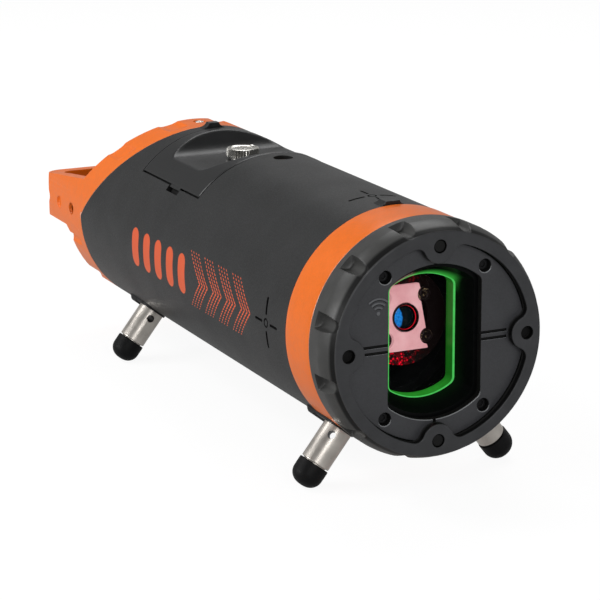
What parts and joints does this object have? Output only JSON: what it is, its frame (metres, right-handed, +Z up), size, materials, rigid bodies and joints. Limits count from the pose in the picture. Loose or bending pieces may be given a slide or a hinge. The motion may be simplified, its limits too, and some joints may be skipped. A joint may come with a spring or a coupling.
{
  "type": "pipe laser",
  "caption": "Round sealed pipe laser on screw-in legs, with a beam window, two-axis laser head, battery door, rear keypad and handle",
  "frame": {"origin": "centre of the footprint, on the floor the feet stand on", "axes": "-Y is the way the beam leaves the window, +Z is up and +X is across the instrument"},
  "size_m": [0.1256, 0.417, 0.1415],
  "materials": {
    "paint_black": "fine textured powder coat, satin",
    "moulded_black": "satin moulded plastic with a fine grain",
    "rubber_black": "matt rubber",
    "gloss_black": "smooth gloss",
    "paint_orange": "satin paint with a light orange-peel grain",
    "nickel": "nickel-plated, satin turned",
    "dark_steel": "dark burnished",
    "brass": "turned",
    "anodised": "black anodised",
    "plate_satin": "bead-blasted satin",
    "circuit": "solder-masked board",
    "green_light": "translucent, lit from behind",
    "clear_glass": "clear, anti-reflection coated",
    "lens_blue": "blue-coated lens",
    "screen": "smooth display window"
  },
  "bodies": {
    "housing": {"battery_pack": "rubber_black", "battery_tray": "moulded_black", "bumper_pin_bottom": "moulded_black", "bumper_pin_top": "moulded_black", "cap_screw": "nickel", "charge_socket": "nickel", "control_panel": "moulded_black", "display_window": "screen", "face_plate": "moulded_black", "face_screw_lower_left": "dark_steel", "face_screw_lower_right": "dark_steel", "face_screw_upper_left": "dark_steel", "face_screw_upper_right": "dark_steel", "front_bulkhead": "gloss_black", "front_bumper": "moulded_black", "front_sight": "moulded_black", "leg_boss_front_left": "moulded_black", "leg_boss_front_right": "moulded_black", "leg_boss_rear_left": "moulded_black", "leg_boss_rear_right": "moulded_black", "light_ring": "green_light", "line_motor": "dark_steel", "main_board": "circuit", "main_tube": "paint_black", "middle_bulkhead": "anodised", "orange_band": "paint_orange", "rear_cap": "paint_orange", "rear_plate": "moulded_black", "rear_sight": "moulded_black", "top_insert": "brass", "window_glass": "clear_glass", "window_hood": "gloss_black"},
    "gimbal": {"gimbal_ring": "anodised", "grade_motor": "dark_steel"},
    "laser_head": {"laser_tube": "anodised", "head_plate": "plate_satin", "aperture_ring": "gloss_black", "laser_lens": "lens_blue"},
    "door": {"battery_door": "moulded_black"},
    "door_lock": {"door_knob": "nickel", "knob_stud": "dark_steel"},
    "flap": {"socket_flap": "rubber_black"},
    "key_power_body": {"key_power": "rubber_black"},
    "key_grade_body": {"key_grade": "rubber_black"},
    "key_line_body": {"key_line": "rubber_black"},
    "key_minus_body": {"key_minus": "rubber_black"},
    "key_enter_body": {"key_enter": "rubber_black"},
    "key_plus_body": {"key_plus": "rubber_black"},
    "leg_front_left_body": {"leg_front_left": "nickel", "foot_front_left": "rubber_black"},
    "leg_front_right_body": {"leg_front_right": "nickel", "foot_front_right": "rubber_black"},
    "leg_rear_left_body": {"leg_rear_left": "nickel", "foot_rear_left": "rubber_black"},
    "leg_rear_right_body": {"leg_rear_right": "nickel", "foot_rear_right": "rubber_black"}
  },
  "joints": [
    {"name": "line_swing", "type": "hinge", "parent": "housing", "child": "gimbal", "pos_m": [0, -0.1335, 0.07805], "axis": [0, 0, 1], "range_deg": [-5, 5]},
    {"name": "grade_tilt", "type": "hinge", "parent": "gimbal", "child": "laser_head", "pos_m": [0, -0.1335, 0.07805], "axis": [-1, 0, 0], "range_deg": [-16.5, 14.5]},
    {"name": "door_lift", "type": "slide", "parent": "housing", "child": "door", "axis": [0, 0, 1], "range_m": [0, 0.08]},
    {"name": "door_lock_turn", "type": "hinge", "parent": "door", "child": "door_lock", "pos_m": [0, 0.0324, 0.12805], "axis": [0, 0, 1], "range_deg": [0, 90]},
    {"name": "socket_flap_swing", "type": "hinge", "parent": "housing", "child": "flap", "pos_m": [0, 0.1623, 0.05805], "axis": [1, 0, 0], "range_deg": [0, 90]},
    {"name": "key_power_press", "type": "slide", "parent": "housing", "child": "key_power_body", "axis": [0, -0.7071, -0.7071], "range_m": [0, 0.001], "stiffness_N_per_m": 400, "springref_m": -0.0004},
    {"name": "key_grade_press", "type": "slide", "parent": "housing", "child": "key_grade_body", "axis": [0, -0.7071, -0.7071], "range_m": [0, 0.001], "stiffness_N_per_m": 400, "springref_m": -0.0004},
    {"name": "key_line_press", "type": "slide", "parent": "housing", "child": "key_line_body", "axis": [0, -0.7071, -0.7071], "range_m": [0, 0.001], "stiffness_N_per_m": 400, "springref_m": -0.0004},
    {"name": "key_minus_press", "type": "slide", "parent": "housing", "child": "key_minus_body", "axis": [0, -0.7071, -0.7071], "range_m": [0, 0.001], "stiffness_N_per_m": 400, "springref_m": -0.0004},
    {"name": "key_enter_press", "type": "slide", "parent": "housing", "child": "key_enter_body", "axis": [0, -0.7071, -0.7071], "range_m": [0, 0.001], "stiffness_N_per_m": 400, "springref_m": -0.0004},
    {"name": "key_plus_press", "type": "slide", "parent": "housing", "child": "key_plus_body", "axis": [0, -0.7071, -0.7071], "range_m": [0, 0.001], "stiffness_N_per_m": 400, "springref_m": -0.0004},
    {"name": "leg_front_left_unscrew", "type": "slide", "parent": "housing", "child": "leg_front_left_body", "axis": [-0.6157, 0, -0.788], "range_m": [0, 0.018]},
    {"name": "leg_front_right_unscrew", "type": "slide", "parent": "housing", "child": "leg_front_right_body", "axis": [0.6157, 0, -0.788], "range_m": [0, 0.018]},
    {"name": "leg_rear_left_unscrew", "type": "slide", "parent": "housing", "child": "leg_rear_left_body", "axis": [-0.6157, 0, -0.788], "range_m": [0, 0.018]},
    {"name": "leg_rear_right_unscrew", "type": "slide", "parent": "housing", "child": "leg_rear_right_body", "axis": [0.6157, 0, -0.788], "range_m": [0, 0.018]}
  ]
}
